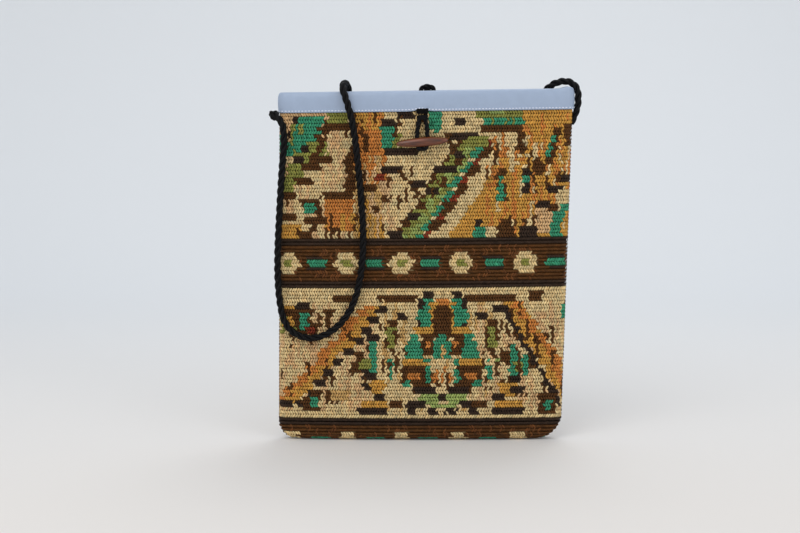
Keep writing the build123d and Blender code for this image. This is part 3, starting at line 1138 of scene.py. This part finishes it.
winding = dict(thread=0.0015, thick=1.15)
toggleRoot = wraps("toggleRoot", rootSpot, wide=3.7, low=-2.4, high=-5.4, turns=3, **winding)
toggleWhipping = wraps("toggleWhipping", hung, wide=3.4, low=1.6, high=-0.8, turns=2.4, **winding)

toggleShape = dict(long=18.0, radius=3.3, tip=1.35, tilt=math.radians(4.5), sides=28, rings=44)
toggleAt = hung(0, 17.2) / mm
cosTilt, sinTilt = math.cos(toggleShape["tilt"]), math.sin(toggleShape["tilt"])
places = []
for i in range(toggleShape["rings"]):
    s = -math.cos(math.pi * i / (toggleShape["rings"] - 1))
    body = toggleShape["tip"] + (toggleShape["radius"] - toggleShape["tip"]) * (1 - abs(s) ** 2.1)
    radius = body * (1 - abs(s) ** 26) ** 0.5 + 0.02
    for j in range(toggleShape["sides"]):
        a = 2 * math.pi * j / toggleShape["sides"]
        # whittled by hand, so not quite round
        r = radius * (1 + 0.018 * math.cos(7 * a + 0.4) + 0.02 * math.sin(3 * s + 2 * a))
        x, up = s * toggleShape["long"], r * math.cos(a)
        away = (x * cosTilt - up * sinTilt, -r * math.sin(a), x * sinTilt + up * cosTilt)
        places.append(toggleAt + away)
faces = gridFaces(toggleShape["rings"], toggleShape["sides"], closed=True)
faces.append(tuple(range(toggleShape["sides"] - 1, -1, -1)))
faces.append(tuple(range(len(places) - toggleShape["sides"], len(places))))
toggle = newPiece("toggleBar", newMesh("toggleBar", np.array(places) * mm, faces, woodMaterial()))

loopCord = dict(x=2, y=3.0, low=231, inner=(0.34, 0.85), width=0.0036, lay=0.0125)
loopHalf = [(-4.7, 231.6), (-4.9, 238.0), (-4.8, 244.5), (-3.4, 247.4), (0.0, 248.0)]
loopRoute = loopHalf + [(-x, z) for x, z in reversed(loopHalf[:-1])]
loopLines = []
for name, (wide, high) in (("loopLine", (1, 1)), ("innerLine", loopCord["inner"])):
    # a smaller turn of the same cord fills the loop
    rises = [(x * wide, loopCord["low"] + (z - loopCord["low"]) * high) for x, z in loopRoute]
    route = [((loopCord["x"] + x) * mm, loopCord["y"] * mm, z * mm) for x, z in rises]
    loopLines.append(curveLine(name, route, 14))
closingLoop = twisted("closingLoop", loopLines, loopCord["width"], loopCord["lay"])


def tackSpot(across, height, forward):
    return np.array([loopCord["x"] + across, 3.6 - forward, height]) * mm


loopTack = wraps("loopTack", tackSpot, wide=6.0, thick=1.2, low=222.8, high=229.6, turns=5, thread=0.0015)
print("cords done")


# ---- dark over-edge stitches down both side seams
seam = dict(low=13, high=229, pitch=2.5, sink=0.1, slope=0.45, size=(0.34, 2.1, 0.36), sides=7)


def seamStitches(name, sign):
    heights = np.arange(seam["low"], seam["high"], seam["pitch"])
    edges = np.array([limits(z, 0.0)[0 if sign < 0 else 1] for z in heights])
    places = np.stack([edges - sign * seam["sink"], 0 * heights, heights], -1)
    plain = np.ones((len(heights), 3))
    out = plain * (sign, 0, 0)
    lengthwise = unit(plain * (0, 1, seam["slope"]))
    turn = eulers(np.cross(lengthwise, out), lengthwise, out)
    shape = grainMesh(name + "Grain", seam["sides"])
    return scatter(name, shape, skewed(places) * mm, turn, plain * seam["size"] * mm, plain, seamMaterial)


seamLeft = seamStitches("seamThreadLeft", -1)
seamRight = seamStitches("seamThreadRight", 1)

# ---- what each piece rides on and stands for
for piece in (backCloth, backLining, backBinding, backTopstitch, seamLeft, seamRight, loopTack, strapKnot):
    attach(piece, "pouch")
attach(toggleWhipping, "toggle_hanger")
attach(toggleCord, "toggle_drop")
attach(toggle, "toggle_drop")
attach(closingLoop, "loop")
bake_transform(toggleRoot)
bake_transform(strap)
for pieces in (frontCloth, frontLining, frontBinding, frontTopstitch):
    for piece, sign in zip(pieces, (-1, 1)):
        followFront(piece)

for pieces, slot, nodes in (
    (frontCloth, "tapestry", ["front_panel"]),
    (backCloth, "tapestry", ["back_panel", "base_fold", "side_seam_left", "side_seam_right"]),
    (frontLining, "lining", ["front_lining"]),
    (backLining, "lining", ["back_lining", "lining_base"]),
    (frontBinding, "binding", ["front_binding"]),
    (backBinding, "binding", ["back_binding"]),
    (frontTopstitch, "topstitch", ["front_topstitch"]),
    (backTopstitch, "topstitch", ["back_topstitch"]),
    (seamLeft, "seam_thread", ["seam_thread_left"]),
    (seamRight, "seam_thread", ["seam_thread_right"]),
    (toggleRoot, "black_cord", ["toggle_cord_root"]),
    (toggleWhipping, "black_cord", ["toggle_whipping"]),
    (toggleCord, "black_cord", ["toggle_cord"]),
    (toggle, "toggle_wood", ["toggle"]),
    (closingLoop, "black_cord", ["closing_loop"]),
    (loopTack, "black_cord", ["loop_tack"]),
    (strap, "black_cord", ["strap"]),
    (strapKnot, "black_cord", ["strap_knot"]),
):
    for piece in pieces if isinstance(pieces, list) else [pieces]:
        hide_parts(*nodes)

# ---- floor, light and camera
floorShape = dict(front=-7.0, back=1.1, rise=3.0, wide=7.0, curve=0.5, steps=12)
profile = [(floorShape["front"], 0.0), (floorShape["back"] - floorShape["curve"], 0.0)]
for i in range(1, floorShape["steps"] + 1):
    a = math.pi / 2 * i / floorShape["steps"]
    y = floorShape["back"] - floorShape["curve"] * (1 - math.sin(a))
    profile.append((y, floorShape["curve"] * (1 - math.cos(a))))
profile.append((floorShape["back"], floorShape["rise"]))
places = [(x, y, z) for y, z in profile for x in (-floorShape["wide"], floorShape["wide"])]


def floorMaterial():
    # plain paper, a little cooler towards the back
    material, tree, nodes, shader = newMaterial("floorPaper")
    place = nodes.new("ShaderNodeTexCoord")
    parts = nodes.new("ShaderNodeSeparateXYZ")
    depth = nodes.new("ShaderNodeMapRange")
    put(depth, {"From Min": -0.2, "From Max": 0.7})
    blend = nodes.new("ShaderNodeMix")
    blend.data_type = "RGBA"
    put(blend, {"A": (*linear((230, 226, 222)), 1), "B": (*linear((224, 227, 230)), 1)})
    wire(
        tree,
        (place, "Object", parts, "Vector"),
        (parts, "Y", depth, "Value"),
        (depth, "Result", blend, "Factor"),
        (blend, "Result", shader, "Base Color"),
    )
    put(shader, {"Roughness": 0.8, "Specular IOR Level": 0.2})
    return material


floor = newPiece("floor", newMesh("floor", places, gridFaces(len(profile), 2)))
floor.data.materials.append(floorMaterial())


def lamp(name, place, size, power, colour=(1, 1, 1), aim=(0, 0, 0.12)):
    data = bpy.data.lights.new(name, "AREA")
    data.shape = "DISK"
    data.size = size
    data.energy = power
    data.color = colour
    made = newPiece(name, data)
    made.location = place
    made.rotation_euler = (Vector(aim) - Vector(place)).to_track_quat("-Z", "Y").to_euler()
    return made


lamp("keyLamp", (-0.6, -1.1, 1.4), size=1.3, power=8, colour=(1.0, 0.98, 0.95))
lamp("fillLamp", (1.1, -1.2, 0.7), size=0.9, power=3, colour=(0.96, 0.98, 1.0))
lamp("backLamp", (0.2, 0.6, 1.2), size=0.7, power=3)
world = bpy.data.worlds.new("studio")
scene.world = world
world.use_nodes = True
put(world.node_tree.nodes["Background"], {"Color": (0.94, 0.965, 1.0, 1), "Strength": 0.74})

shot = dict(distance=1.17, down=math.radians(7), lens=75.2, aim=(-0.017, 0, 0.1225))
camera = newPiece("camera", bpy.data.cameras.new("camera"))
camera.data.lens = shot["lens"]
camera.data.sensor_width = 36
aim = Vector(shot["aim"])
camera.location = aim + Vector((0, -math.cos(shot["down"]), math.sin(shot["down"]))) * shot["distance"]
camera.rotation_euler = (aim - camera.location).to_track_quat("-Z", "Y").to_euler()
scene.camera = camera
scene.view_settings.view_transform = "Standard"
